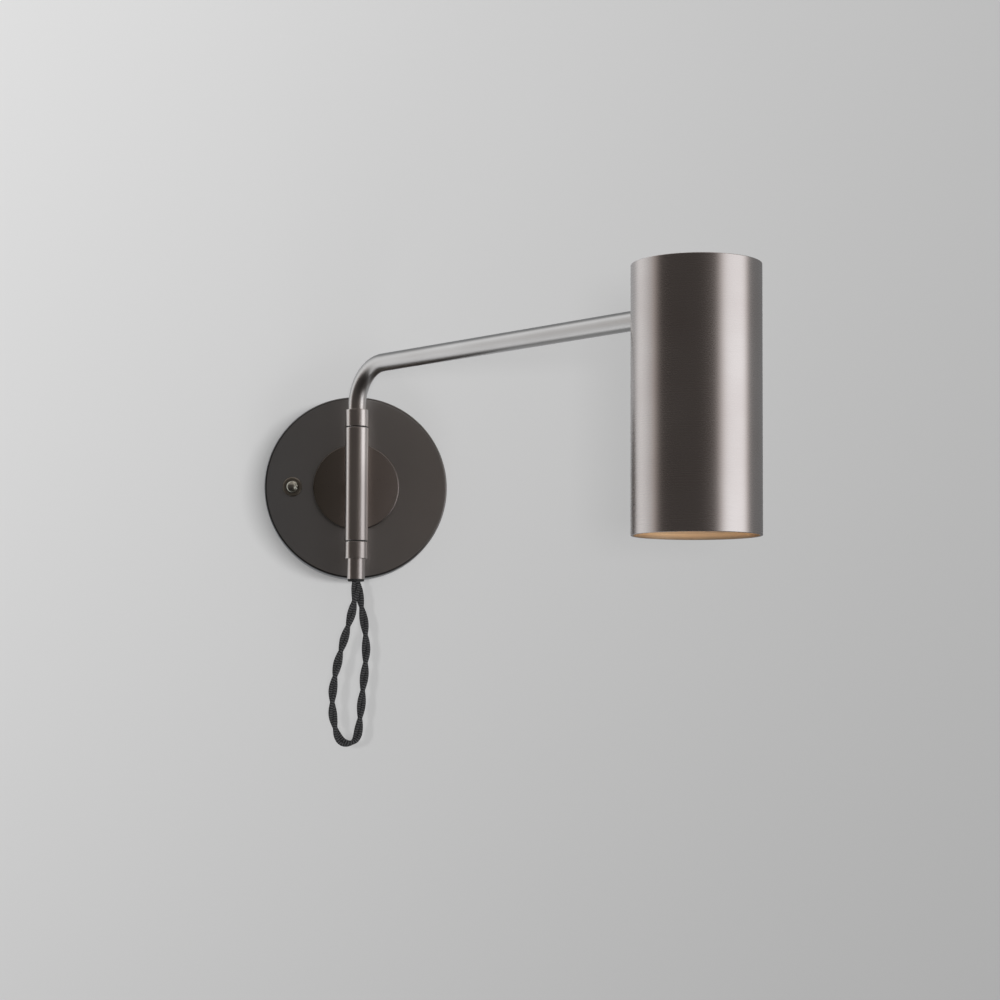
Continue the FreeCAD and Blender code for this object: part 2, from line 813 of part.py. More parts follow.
def flat_cut(distance, start):
    """What is cut off to leave a flat at a distance from the axis."""
    return box(2 * stud_radius, stud_radius, start, stud_end, 0, distance + stud_radius / 2)


def outer_saddle_ring():
    """A ring between the arm and the shade, coped to the shade's outside."""
    face = shade_near - outer_saddle
    body = rod(saddle_radius, face, arm_reach)
    body = along_arm(body.cut(bore(stud_radius + running_gap, face, arm_reach, washer_sides)))
    shell = in_shade(rod(shade_radius + seat_gap, arm_height - shade_below, shade_top))
    return swung(body.cut(shell))


def inner_saddle_disc():
    """A disc coped to the shade's inside, which keeps it from turning."""
    body = bar(inner_saddle_radius, shade_near, inner_saddle_face, sides=washer_sides)
    hole = bore(stud_radius + running_gap, shade_near, inner_saddle_face, washer_sides)
    hollow = in_shade(rod(shade_radius - shade_wall - seat_gap, arm_height - shade_below,
                          shade_top))
    cuts = along_arm(hole.fuse(stop_pin_bar(stop_pin_radius + seat_gap)))
    return swung(along_arm(body).common(hollow).cut(cuts))


def stop_pin_bar(radius):
    low = inner_saddle_face - stop_pin_depth
    return bar(radius, low, wave_washer_near, -stop_pin_offset)


def stop_pin():
    return swung(along_arm(stop_pin_bar(stop_pin_radius)))


def friction_washers():
    """Fibre washers on both sides of the shade's wall."""
    washers = [washer(saddle_radius, stud_radius + free_gap, near, near + fibre_washer)
               for near in (stud_shoulder, inner_saddle_face)]
    return swung(along_arm(Part.makeCompound(washers)))


def stop_washer():
    """Keyed to the stud's flat; its ear meets the stop pin at both ends of the tilt."""
    low, high = stop_washer_near, wave_washer_near
    ear = box(stop_ear_reach, stop_ear_width, low, high, stop_ear_reach / 2)
    hole_radius = stud_radius + hole_gap
    hole = bar(hole_radius, low, high, sides=washer_sides)
    hole = hole.cut(box(2 * hole_radius, stud_radius, low, high, 0,
                        stud_flat + hole_gap + stud_radius / 2))
    body = bar(saddle_radius, low, high, sides=washer_sides)
    return swung(along_arm(body.fuse(ear).cut(hole)))


def wave_washer():
    """A sprung, dished washer that loads the friction joint."""
    low, high, thick = wave_washer_near, swivel_nut_near, wave_washer_thickness
    inner, rim = stud_radius + hole_gap, wave_washer_radius
    dish = stacked([(rim, low), (inner, high - thick)], washer_sides)
    shell = stacked([(rim, low), (rim, low + thick), (inner, high)], washer_sides)
    hole = bar(inner, low, high, sides=washer_sides)
    return swung(along_arm(shell.cut([dish, hole])))


def swivel_nut():
    low, high = swivel_nut_near, swivel_nut_near + swivel_nut_thickness
    nut = hexagon(swivel_nut_flats, low, high)
    return swung(along_arm(nut.cut(bore(stud_radius + seat_gap, low, high, washer_sides))))


# ================================================================ shade
def shade_tube():
    """A drawn tube with a step for the cap inside its upper edge."""
    bottom, top = arm_height - shade_below, shade_top
    inside = shade_radius - shade_wall
    body = rod(shade_radius, bottom, top).cut([
        bore(inside, bottom, top, large_sides),
        bore(inside + cap_step, cap_bottom, top, large_sides),
    ])
    stud_hole = bar(stud_radius + free_gap, shade_near - shade_wall, arm_reach)
    return swung(in_shade(body).cut(along_arm(stud_hole)))


def top_cap():
    radius = shade_radius - shade_wall + cap_step - seat_gap
    cap = bore(radius, cap_bottom, shade_top, large_sides)
    spigots = [bar(pillar_spigot_radius + seat_gap, cap_bottom, cap_bottom + pillar_spigot,
                   0, side * pillar_offset) for side in (-1, 1)]
    return swung(in_shade(cap.cut(spigots)))


# ================================================================ lampholder and lamp
def holder_pillars():
    """Two hexagonal pillars with round spigots above and tapped holes below."""
    pillars = []
    for side in (-1, 1):
        y = side * pillar_offset
        pillar = bar(pillar_radius, holder_top, cap_bottom, 0, y, 6)
        pillar = pillar.fuse(bar(pillar_spigot_radius, cap_bottom,
                                 cap_bottom + pillar_spigot - hole_gap, 0, y))
        pillars.append(pillar.cut(bar(holder_screw_radius + seat_gap, holder_top,
                                      holder_top + holder_screw_grip + free_gap, 0, y)))
    return swung(in_shade(Part.makeCompound(pillars)))


def lead_ends():
    """Where the two leads enter the holder, about the shade's axis."""
    return [(-lead_entry_offset, side * lead_entry_spacing / 2) for side in (-1, 1)]


def lampholder():
    """A ceramic block with two pin sockets below, screwed up to the pillars."""
    block = box(holder_width, holder_length, holder_bottom, holder_top)
    upright = [e for e in block.Edges if abs(e.Vertexes[0].Z - e.Vertexes[1].Z) > holder_height / 2]
    block = block.makeChamfer(holder_corner, upright)
    cuts = []
    for side in (-1, 1):
        y = side * pillar_offset
        cuts += [
            bar(holder_screw_radius + hole_gap, holder_bottom, holder_top, 0, y),
            bar(holder_head_radius + free_gap, holder_bottom, holder_bottom + holder_head_sunk,
                0, y),
            bar(pin_radius + free_gap, holder_bottom, holder_bottom + pin_socket_depth,
                0, side * pin_offset),
        ]
    cuts += [bar(lead_radius + hole_gap, holder_top - lead_entry_depth, holder_top, x, y)
             for x, y in lead_ends()]
    return swung(in_shade(block.cut(cuts)))


def holder_screws():
    seat, tip = holder_bottom + holder_head_sunk, holder_top + holder_screw_grip
    screws = [headed_screw(holder_screw_radius, holder_head_radius, tip, seat,
                           -holder_head_height, side * pillar_offset) for side in (-1, 1)]
    return swung(in_shade(Part.makeCompound(screws)))


def holder_leads():
    """Two leads from the end of the stud into the top of the holder."""
    leads = []
    for x, y in lead_ends():
        start_y = math.copysign(lead_spacing / 2, y)
        end_x, level = arm_reach + x, arm_height
        lead_bottom = holder_top - lead_entry_depth
        way = end_x - stud_end
        points = [
            Vector(stud_end, start_y, level),
            Vector(stud_end + way * lead_straight, start_y, level),
            Vector(end_x - lead_radius, (start_y + y) / 2, level - lead_dip),
            Vector(end_x, y, holder_top + 2 * lead_radius),
            Vector(end_x, y, lead_bottom),
        ]
        leads.append(bar_along(points, lead_radius, core_sides, lead_bend))
    return swung(Part.makeCompound(leads))


def bulb_base():
    neck = lamp_top - lamp_base
    return swung(in_shade(stacked([(lamp_neck_radius, neck), (lamp_base_radius, lamp_top)],
                                  washer_sides)))


def bulb_body():
    """The lamp's flared body, hollow behind its lens."""
    neck, rim = lamp_top - lamp_base, lamp_front + lamp_rim
    seat = lamp_front + lens_sunk + lens_thickness
    inner_neck, inner_rim = lamp_neck_radius - lamp_wall, lamp_radius - lamp_wall
    body = stacked([(lamp_radius, lamp_front), (lamp_radius, rim), (lamp_neck_radius, neck)],
                   lamp_sides)
    hollow = stacked([(inner_rim - lens_ledge, seat), (inner_neck, neck - lamp_wall)], lamp_sides)
    opening = bar(inner_rim, lamp_front, seat, sides=lamp_sides)
    return swung(in_shade(body.cut([hollow, opening])))


def bulb_lens():
    outer = lamp_radius - lamp_wall - seat_gap
    low = lamp_front + lens_sunk
    return swung(in_shade(bar(outer, low, low + lens_thickness, sides=lamp_sides)))


def bulb_pins():
    neck = lamp_top + pin_neck
    pins = [headed_screw(pin_neck_radius, pin_radius, lamp_top, neck, pin_head,
                         side * pin_offset) for side in (-1, 1)]
    return swung(in_shade(Part.makeCompound(pins)))


# ================================================================ cord
def cord_grommet():
    """A rubber sleeve through the plate, between two flanges."""
    front, round_off = plate_depth + grommet_front, grommet_front / 3
    flange = grommet_flange_radius
    body = bar(grommet_neck_radius, grommet_end, plate_depth).fuse([
        bar(flange, grommet_end, plate_inside),
        stacked([(flange, plate_depth), (flange, front - round_off), (flange - round_off, front)],
                washer_sides),
    ])
    return on_wall(body.cut(bore(cord_radius + running_gap, grommet_end, front)), 0, grommet_z)


def cord_tie():
    """A tie pulled tight round the cord, which keeps it from being drawn out."""
    inside = cord_radius + running_gap
    thick, wide = tie_head
    body = bar(inside + tie_wall, tie_end, grommet_end)
    head = box(thick, wide, tie_end, grommet_end, 0, -(inside + tie_wall / 2 + wide / 2))
    return on_wall(body.fuse(head).cut(bore(inside, tie_end, grommet_end)), 0, grommet_z)


def cord_tail():
    """The cord's last stretch, held by the grommet and the tie."""
    tail = bar(cord_radius - seat_gap, tail_end, cord_meets_tail, sides=cord_sides)
    return on_wall(tail, 0, grommet_z)


def plate_leads():
    """Cores from the cord to the switch and the block, and the link between those two."""
    tag_y, tag_face = -(switch_back - tag_size[2] / 2), switch_x + tag_size[0] / 2
    way_y = -(bracket_thickness + wire_way_height)
    low_pole, high_pole = block_z - pole_pitch / 2, block_z + pole_pitch / 2
    clamp_x = clamp_length / 2
    low_tag, high_tag = -tag_spacing / 2, tag_spacing / 2
    tag_way, block_turn = -tag_face - tag_lead, clamp_x + block_lead
    part = core_radius + hole_gap / 2
    to_switch = [(-part, -tail_end, grommet_z), (-part, -lead_level, grommet_z)]
    to_switch += switch_lead_route + [(-tag_way, tag_y, low_tag), (tag_face, tag_y, low_tag)]
    to_block = [(part, -tail_end, grommet_z), (part, -lead_level, grommet_z)]
    to_block += block_lead_route + [(block_turn, way_y, low_pole), (clamp_x, way_y, low_pole)]
    link = [(-clamp_x, way_y, high_pole)]
    link += link_lead_route + [(-tag_way, tag_y, high_tag), (tag_face, tag_y, high_tag)]
    routes = [[Vector(*point) for point in route] for route in (to_switch, to_block, link)]
    return Part.makeCompound([bar_along(route, core_radius, core_sides, lead_bend)
                              for route in routes])


def cord_loop():
    """The free loop; prints its length, its radii and how well its volume fits."""
    points = [Vector(*point) for point in cord_route]
    path, radii = rounded_path(points)
    tube = swept(path, points[0], points[1] - points[0], cord_radius, cord_sides)
    section = Part.Face(outline(cord_radius, 0, cord_sides)).Area
    expected = section * path.Length
    print("cord loop: length %.1f mm, volume %.1f of %.1f mm3" %
          (path.Length, tube.Volume, expected))
    print("cord loop radii:", " ".join("%.1f" % radius for radius in radii))
    return tube


# ================================================================ the lamp
pieces = {
    "wall_plate": wall_plate,
    "boss_disc": boss_disc,
    "standoff_stem": standoff_stem,
    "stem_washer": stem_washer,
    "stem_nut": stem_nut,
    "wall_bracket": wall_bracket,
    "rim_screws": rim_screws,
    "earth_washer": earth_washer,
    "earth_screw": earth_screw,
    "terminal_block": terminal_block,
    "terminal_clamps": terminal_clamps,
    "terminal_screws": terminal_screws,
    "block_screw": block_screw,
    "switch_bezel": switch_bezel,
    "switch_button": switch_button,
    "switch_spring": switch_spring,
    "switch_nut": switch_nut,
    "switch_body": switch_body,
    "switch_tags": switch_tags,
    "pivot_barrel": pivot_barrel,
    "upper_bush": lambda: flanged_bush(1),
    "lower_bush": lambda: flanged_bush(-1),
    "upper_collar": lambda: collar(1),
    "lower_collar": lambda: collar(-1),
    "collar_screws": collar_screws,
    "arm_tube": arm_tube,
    "arm_lead": arm_lead,
    "cord_bush": cord_bush,
    "swivel_stud": swivel_stud,
    "outer_saddle": outer_saddle_ring,
    "inner_saddle": inner_saddle_disc,
    "stop_pin": stop_pin,
    "friction_washers": friction_washers,
    "stop_washer": stop_washer,
    "wave_washer": wave_washer,
    "swivel_nut": swivel_nut,
    "shade_tube": shade_tube,
    "top_cap": top_cap,
    "holder_pillars": holder_pillars,
    "lampholder": lampholder,
    "holder_screws": holder_screws,
    "holder_leads": holder_leads,
    "bulb_base": bulb_base,
    "bulb_body": bulb_body,
    "bulb_lens": bulb_lens,
    "bulb_pins": bulb_pins,
    "cord_grommet": cord_grommet,
    "cord_tie": cord_tie,
    "cord_tail": cord_tail,
    "plate_leads": plate_leads,
    "cord_loop": cord_loop,
}

os.makedirs("parts", exist_ok=True)
for node, make in pieces.items():
    make().exportStep("parts/" + node + ".step")
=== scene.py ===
"""Bedside wall reading lamp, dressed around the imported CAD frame. Metres, CAD frame: the wall is
the plane y = 0, +Z is up and the lamp stands out towards -Y."""
import json
import math

import bpy
from mathutils import Matrix, Vector

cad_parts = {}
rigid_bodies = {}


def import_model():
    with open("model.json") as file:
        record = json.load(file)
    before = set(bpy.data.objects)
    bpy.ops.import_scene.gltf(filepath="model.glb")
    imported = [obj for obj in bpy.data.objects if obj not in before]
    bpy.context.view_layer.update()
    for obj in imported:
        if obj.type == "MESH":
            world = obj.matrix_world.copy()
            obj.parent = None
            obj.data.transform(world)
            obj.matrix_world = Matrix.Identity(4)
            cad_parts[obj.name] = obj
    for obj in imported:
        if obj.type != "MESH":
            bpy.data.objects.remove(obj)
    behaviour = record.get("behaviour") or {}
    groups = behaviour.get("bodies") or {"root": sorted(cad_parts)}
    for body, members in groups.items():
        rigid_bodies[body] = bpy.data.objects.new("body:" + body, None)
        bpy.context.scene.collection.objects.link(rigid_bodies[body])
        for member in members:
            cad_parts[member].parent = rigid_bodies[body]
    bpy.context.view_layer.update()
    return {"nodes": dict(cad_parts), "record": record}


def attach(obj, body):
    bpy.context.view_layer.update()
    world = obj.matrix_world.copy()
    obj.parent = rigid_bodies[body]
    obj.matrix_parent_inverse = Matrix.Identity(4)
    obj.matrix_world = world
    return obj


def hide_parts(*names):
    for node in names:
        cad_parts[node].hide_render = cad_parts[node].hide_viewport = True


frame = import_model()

NODES = frame["nodes"]

# ---------------------------------------------------------------- places, from the CAD
STANDOFF = 0.0379                       # swing axis to the wall
SWING = math.radians(51.6)              # between the arm and the wall
ARM_REACH = 0.244
SHADE_AXIS = (ARM_REACH * math.cos(SWING), -STANDOFF - ARM_REACH * math.sin(SWING))
SHADE_RADIUS = 0.030
SHADE_WALL = 0.0012
SHADE_BOTTOM = -0.0394
CAP_BOTTOM = 0.0817
PLATE_RADIUS = 0.050
BOSS_RADIUS = 0.0235
SWITCH_X = -0.0348
GROMMET_Z = -0.036
RIM_SCREW_Y = 0.008
COLLAR_SCREW_Z = 0.0357
BUTTON_TOP, BUTTON_RADIUS, BUTTON_DOME = 21.8, 3.4, 1.9      # millimetres

# ---------------------------------------------------------------- how fine the meshes are
BEVEL_STEPS = 4
DOME_STEPS = 10
WIDE_SIDES, BOSS_SIDES, MIDDLE_SIDES, RING_SIDES, NARROW_SIDES = 192, 160, 96, 72, 64
HOLE_SIDES, SCREW_SIDES, HEX = 48, 32, 6
ROUTE_STEPS = 12                        # points on the cord between two control points
STRAND_SIDES = 16
SHARP_ANGLE = math.radians(35)

# ---------------------------------------------------------------- light
EVEN_LIGHT = 0.16                       # from the whole room, on matt surfaces
BACKDROP = 0.55                         # what the camera sees past the wall
KEY_WATTS = 46
FRONT_WATTS = 10
SIDE_WATTS = 11
BOUNCE_WATTS = 3
INSIDE_WATTS = 0.50
LAMP_MIDDLE = (0.05, -0.02, 0.0)        # what the lights aim at
MIRROR_LEVEL = 0.74                     # of all that metal mirrors
MIRROR_WARM = (1.08, 0.99, 0.95)        # the room, in metal
MIRROR_COOL = (0.97, 1.0, 1.045)        # the soft box, in metal
WALL_IN_METAL = (0.97, 1.0, 1.03)
WALL_BANDS = [(-1.2, 0.97), (-0.37, 1.35), (-0.147, 1.41), (-0.034, 0.67), (0.1, 0.62),
              (0.3, 0.30)]              # (x, level) of the wall, in metal
WALL_LIFT = 0.10                        # seen by the camera only
TONE_REACH = 0.4                        # the wall's paint and painted light are even past this
WALL_PAINT_AND_PAINTED_LIGHT = (0.4694, -0.4386, 0.3104, 0.2798, -0.3112)      # pale paint with painted light: of 1, x, z, x * x and x * z
WALL_HALF, WALL_HOLE, WALL_GAP = 4.0, 0.0485, 0.0003

# ---------------------------------------------------------------- camera
CAMERA_AT = (-0.017958, -1.188136, -0.105795)
CAMERA_YAW, CAMERA_PITCH, CAMERA_ROLL = (math.radians(a) for a in (-4.224, 2.827, 0.229))
CAMERA_LENS, CAMERA_SENSOR = 76.85, 36.0
CAMERA_SHIFT = (0.0200, 0.0756)         # keeps upright lines nearly upright, as in the photo

# ---------------------------------------------------------------- cord
STRAND_RADIUS = 0.00122
STRAND_OFFSET = 0.00113                 # strand's middle from the cord's middle
BRAID_LENGTH = 0.0026                   # one turn of the braid's pattern along a strand
TWIST_PITCHES = (0.0280, 0.0302)        # down the left leg, and up the right one
TWIST_CHANGE = 0.083
CORD_ROUTE = [
    (0.0, -0.0379, -0.0525),
    (0.0, -0.0379, -0.0595),
    (-0.0023, -0.0382, -0.0705),
    (-0.0053, -0.0382, -0.0808),
    (-0.0083, -0.0380, -0.0914),
    (-0.0108, -0.0376, -0.1023),
    (-0.0123, -0.0370, -0.1132),
    (-0.0121, -0.0363, -0.1232),
    (-0.0109, -0.0357, -0.1306),
    (-0.0089, -0.0352, -0.1366),
    (-0.0061, -0.0348, -0.1394),
    (-0.0020, -0.0343, -0.1398),
    (0.0012, -0.0338, -0.1372),
    (0.0024, -0.0331, -0.1302),
    (0.0033, -0.0324, -0.1205),
    (0.0043, -0.0317, -0.1095),
    (0.0055, -0.0311, -0.0985),
    (0.0060, -0.0306, -0.0875),
    (0.0052, -0.0302, -0.0765),
    (0.0033, -0.0299, -0.0660),
    (0.0016, -0.0298, -0.0572),
    (0.0005, -0.0299, -0.0502),
    (0.0001, -0.0298, -0.0437),
    (0.0, -0.0270, -0.0388),
    (0.0, -0.0221, -0.0360),
    (0.0, -0.0165, -0.0360),
]


def make_camera():
    data = bpy.data.cameras.new("camera")
    data.lens, data.sensor_width = CAMERA_LENS, CAMERA_SENSOR
    data.shift_x, data.shift_y = CAMERA_SHIFT
    data.clip_start, data.clip_end = 0.01, 50
    camera = bpy.data.objects.new("camera", data)
    bpy.context.scene.collection.objects.link(camera)
    turn = (Matrix.Rotation(CAMERA_YAW, 4, "Z")
            @ Matrix.Rotation(math.pi / 2 + CAMERA_PITCH, 4, "X")
            @ Matrix.Rotation(CAMERA_ROLL, 4, "Z"))
    camera.matrix_world = Matrix.Translation(CAMERA_AT) @ turn
    bpy.context.scene.camera = camera


# ---------------------------------------------------------------- node helpers
def add(tree, kind, settings=None, inputs=None):
    """A new node; inputs maps a socket's name or number to a value or to another socket."""
    made = tree.nodes.new(kind)
    for name, value in (settings or {}).items():
        setattr(made, name, value)
    for name, value in (inputs or {}).items():
        socket = made.inputs[name]
        if isinstance(value, bpy.types.NodeSocket):
            tree.links.new(value, socket)
        else:
            socket.default_value = value
    return made


def math_node(tree, operation, *values, clamp=False):
    made = add(tree, "ShaderNodeMath", {"operation": operation, "use_clamp": clamp},
               dict(enumerate(values)))
    return made.outputs[0]


def ranged(tree, value, low, high, to_low, to_high, smooth=False):
    """The value moved from one range to another, and kept within it."""
    made = add(tree, "ShaderNodeMapRange",
               {"interpolation_type": "SMOOTHSTEP" if smooth else "LINEAR"},
               {"Value": value, "From Min": low, "From Max": high,
                "To Min": to_low, "To Max": to_high})
    return made.outputs[0]


def mixed(tree, factor, first, second):
    """A colour between two colours."""
    made = add(tree, "ShaderNodeMix", {"data_type": "RGBA"}, {0: factor})
    for number, colour in ((6, first), (7, second)):
        if isinstance(colour, bpy.types.NodeSocket):
            tree.links.new(colour, made.inputs[number])
        else:
            made.inputs[number].default_value = (*colour, 1)
    return made.outputs[2]


def object_noise(tree, stretch, detail=2.0):
    """Noise in the piece's own coordinates, stretched by a scale along each axis."""
    coord = add(tree, "ShaderNodeTexCoord")
    place = add(tree, "ShaderNodeMapping", {},
                {"Vector": coord.outputs["Object"], "Scale": stretch})
    return add(tree, "ShaderNodeTexNoise", {},
               {"Vector": place.outputs[0], "Scale": 1.0, "Detail": detail}).outputs[0]


def new_material(name):
    made = bpy.data.materials.new(name)
    made.use_nodes = True
    return made, made.node_tree, made.node_tree.nodes["Principled BSDF"]


def bumped(tree, shader, height, strength, distance):
    bump = add(tree, "ShaderNodeBump", {}, {"Strength": strength, "Distance": distance,
                                            "Height": height})
    tree.links.new(bump.outputs[0], shader.inputs["Normal"])


# ---------------------------------------------------------------- materials
def metal(name, colour, tint, roughness, grain, bump=0.05, share=0.35, spread=0.1):
    """Brushed or satin metal: the grain sets the finest marks, and wide noise tints it a little."""
    made, tree, shader = new_material(name)
    shader.inputs["Metallic"].default_value = 1.0
    fine = object_noise(tree, grain, 3)
    wide = object_noise(tree, (30, 30, 30), 2)
    grain_and_painted_shade = math_node(tree, "MULTIPLY_ADD", fine, share,
                     math_node(tree, "MULTIPLY", wide, 1 - share))
    tree.links.new(mixed(tree, ranged(tree, grain_and_painted_shade, 0.3, 0.7, 0, 1), colour, tint),
                   shader.inputs["Base Color"])
    tree.links.new(ranged(tree, fine, 0.25, 0.75, roughness * (1 - spread),
                          roughness * (1 + spread)), shader.inputs["Roughness"])
    bumped(tree, shader, fine, bump, 0.00005)
    return made


def object_split(tree):
    coord = add(tree, "ShaderNodeTexCoord").outputs["Object"]
    return coord, add(tree, "ShaderNodeSeparateXYZ", {}, {0: coord}).outputs


def distance_from(tree, coord, middle, keep):
    """How far a point is from a middle, along the axes that are kept."""
    away = add(tree, "ShaderNodeVectorMath", {"operation": "SUBTRACT"}, {0: coord, 1: middle})
    flat = add(tree, "ShaderNodeVectorMath", {"operation": "MULTIPLY"},
               {0: away.outputs[0], 1: keep})
    return add(tree, "ShaderNodeVectorMath", {"operation": "LENGTH"},
               {0: flat.outputs[0]}).outputs["Value"]


def scaled(tree, colour, factor):
    """A colour made lighter or darker by a factor."""
    return add(tree, "ShaderNodeVectorMath", {"operation": "SCALE"},
               {0: colour, "Scale": factor}).outputs[0]


def tinted(made, colour):
    """Multiplies the material's colour by another one."""
    tree = made.node_tree
    socket = tree.nodes["Principled BSDF"].inputs["Base Color"]
    both = add(tree, "ShaderNodeVectorMath", {"operation": "MULTIPLY"},
               {0: socket.links[0].from_socket, 1: colour})
    tree.links.new(both.outputs[0], socket)
    return made


def disc_metal(name, left, right, roughness, radius, edge, painted_edge_shade):
    """Satin metal of a disc on the wall with painted shade: darker on the left, browner and lighter
    on the right, and darker at its turned edge, which dims the edge's reflection.
    """
    made = metal(name, (1, 1, 1), (0.93, 0.93, 0.93), roughness, (1500, 1500, 1500), 0.06)
    tree = made.node_tree
    coord, (x, _, _) = object_split(tree)
    # Painted shade: the turned edge is darker, dimming its reflection.
    painted_rim_shade = ranged(tree, distance_from(tree, coord, (0, 0, 0), (1, 0, 1)), edge - 0.0002, edge,
                 1, painted_edge_shade)
    # Painted shade: darker on the left, lighter on the right.
    across = mixed(tree, ranged(tree, x, -radius, radius, 0, 1), left, right)
    return tinted(made, scaled(tree, across, painted_rim_shade))


def sleeve_metal_with_painted_shade(name, colour, tint, roughness):
    """Brushed metal with painted shade that darkens its upper and under sides. It is warmer along
    the sleeve, with painted shade that dulls the sleeve's lower right."""
    made = metal(name, colour, tint, roughness, (90, 90, 4200), 0.02, 0.2, 0.06)
    tree = made.node_tree
    normal = add(tree, "ShaderNodeTexCoord").outputs["Normal"]
    right, _, up = add(tree, "ShaderNodeSeparateXYZ", {}, {0: normal}).outputs
    _, (_, _, z) = object_split(tree)
    # Painted shade: the sleeve's lower right is darker and pinker, dimming its reflection there.
    grain_and_painted_shade = math_node(tree, "MULTIPLY", ranged(tree, right, 0.05, 0.35, 0, 1, True),
                     ranged(tree, z, 0.022, -0.006, 0, 1, True))
    tint_and_painted_shade = mixed(tree, ranged(tree, z, 0.050, 0.040, 0, 1), (1, 1, 1), (1.05, 0.995, 0.965))
    tint_and_painted_shade = mixed(tree, grain_and_painted_shade, tint_and_painted_shade, (0.74, 0.69, 0.67))
    # Painted shade: faces turned up are much darker, and faces turned down a little darker.
    painted_top_and_under_shade = math_node(tree, "MULTIPLY", ranged(tree, up, 0.35, 0.8, 1, 0.45, True),
                     ranged(tree, up, -0.25, -0.6, 1, 0.9, True))
    return tinted(made, scaled(tree, tint_and_painted_shade, painted_top_and_under_shade))


def shade_metal():
    """Outside: brushed round the shade, with painted shade that darkens it on top. Inside:
    brass-coloured lacquer, darker at the lower edge, and with painted shade that darkens it farther
    in."""
    made = metal("shade_metal", (0.608, 0.558, 0.532), (0.55, 0.495, 0.47), 0.27,
                 (45, 45, 5200), 0.004, 0.09, 0.03)
    tree = made.node_tree
    shader = tree.nodes["Principled BSDF"]
    coord, (_, _, z) = object_split(tree)
    radius = distance_from(tree, coord, (*SHADE_AXIS, 0), (1, 1, 0))
    edge = SHADE_RADIUS - SHADE_WALL
    below = ranged(tree, z, CAP_BOTTOM - 0.0002, CAP_BOTTOM + 0.0001, 1, 0)
    inside = math_node(tree, "MULTIPLY", below,
                       ranged(tree, radius, edge + 0.0001, edge + 0.0003, 1, 0))
    normal = add(tree, "ShaderNodeTexCoord").outputs["Normal"]
    up = add(tree, "ShaderNodeSeparateXYZ", {}, {0: normal}).outputs[2]
    # Painted shade: faces turned up are darker, dimming what they reflect.
    outer = scaled(tree, shader.inputs["Base Color"].links[0].from_socket,
                   ranged(tree, up, 0.5, 0.9, 1, 0.42, True))
    tint_and_painted_shade = mixed(tree, object_noise(tree, (40, 40, 90), 2), (0.75, 0.505, 0.29),
                 (0.71, 0.46, 0.26))
    lip = ranged(tree, z, SHADE_BOTTOM, SHADE_BOTTOM + 0.0024, 0, 1, True)
    tint_and_painted_shade = mixed(tree, lip, (0.30, 0.22, 0.15), tint_and_painted_shade)
    # Painted shade: the inside is darker farther in from the mouth.
    painted_deep_shade = ranged(tree, z, SHADE_BOTTOM + 0.0020, SHADE_BOTTOM + 0.0036, 0, 0.4, True)
    tint_and_painted_shade = mixed(tree, painted_deep_shade, tint_and_painted_shade, (0.30, 0.25, 0.20))
    tree.links.new(mixed(tree, inside, outer, tint_and_painted_shade), shader.inputs["Base Color"])
    tree.links.new(ranged(tree, inside, 0, 1, 1.0, 0.45), shader.inputs["Metallic"])
    return made


def plain(name, colour, second, roughness, grain=(900, 900, 900), bump=0.2, depth=0.00005,
          metallic=0.0, **sockets):
    """A dielectric or cast surface with a fine grain and a slight change of colour."""
    made, tree, shader = new_material(name)
    shader.inputs["Metallic"].default_value = metallic
    for socket, value in sockets.items():
        shader.inputs[socket.replace("_", " ")].default_value = value
    fine = object_noise(tree, grain, 3)
    tree.links.new(mixed(tree, ranged(tree, fine, 0.3, 0.7, 0, 1), colour, second),
                   shader.inputs["Base Color"])
    tree.links.new(ranged(tree, fine, 0.2, 0.8, roughness * 0.85, roughness * 1.15),
                   shader.inputs["Roughness"])
    bumped(tree, shader, fine, bump, depth)
    return made


def cord_fabric():
    """A fine braid: two sets of crossing diagonals on the strand's own coordinates."""
    made, tree, shader = new_material("cord_fabric")
    attribute = add(tree, "ShaderNodeAttribute", {"attribute_name": "braid"})
    split = add(tree, "ShaderNodeSeparateXYZ", {}, {0: attribute.outputs["Vector"]})
    round_, along = split.outputs[0], split.outputs[1]
    threads = []
    for sign in (1, -1):
        lean = math_node(tree, "MULTIPLY_ADD", round_, 6.0 * sign, along)
        threads.append(math_node(tree, "SINE", math_node(tree, "MULTIPLY", lean, 2 * math.pi)))
    weave = math_node(tree, "MULTIPLY", *threads)
    height = ranged(tree, weave, -1, 1, 0, 1)
    tree.links.new(mixed(tree, ranged(tree, weave, -0.5, 0.9, 0, 1, True), (0.001, 0.001, 0.001),
                         (0.105, 0.105, 0.108)),
                   shader.inputs["Base Color"])
    shader.inputs["Roughness"].default_value = 0.72
    shader.inputs["Specular IOR Level"].default_value = 0.3
    bumped(tree, shader, height, 0.8, 0.0002)
    return made


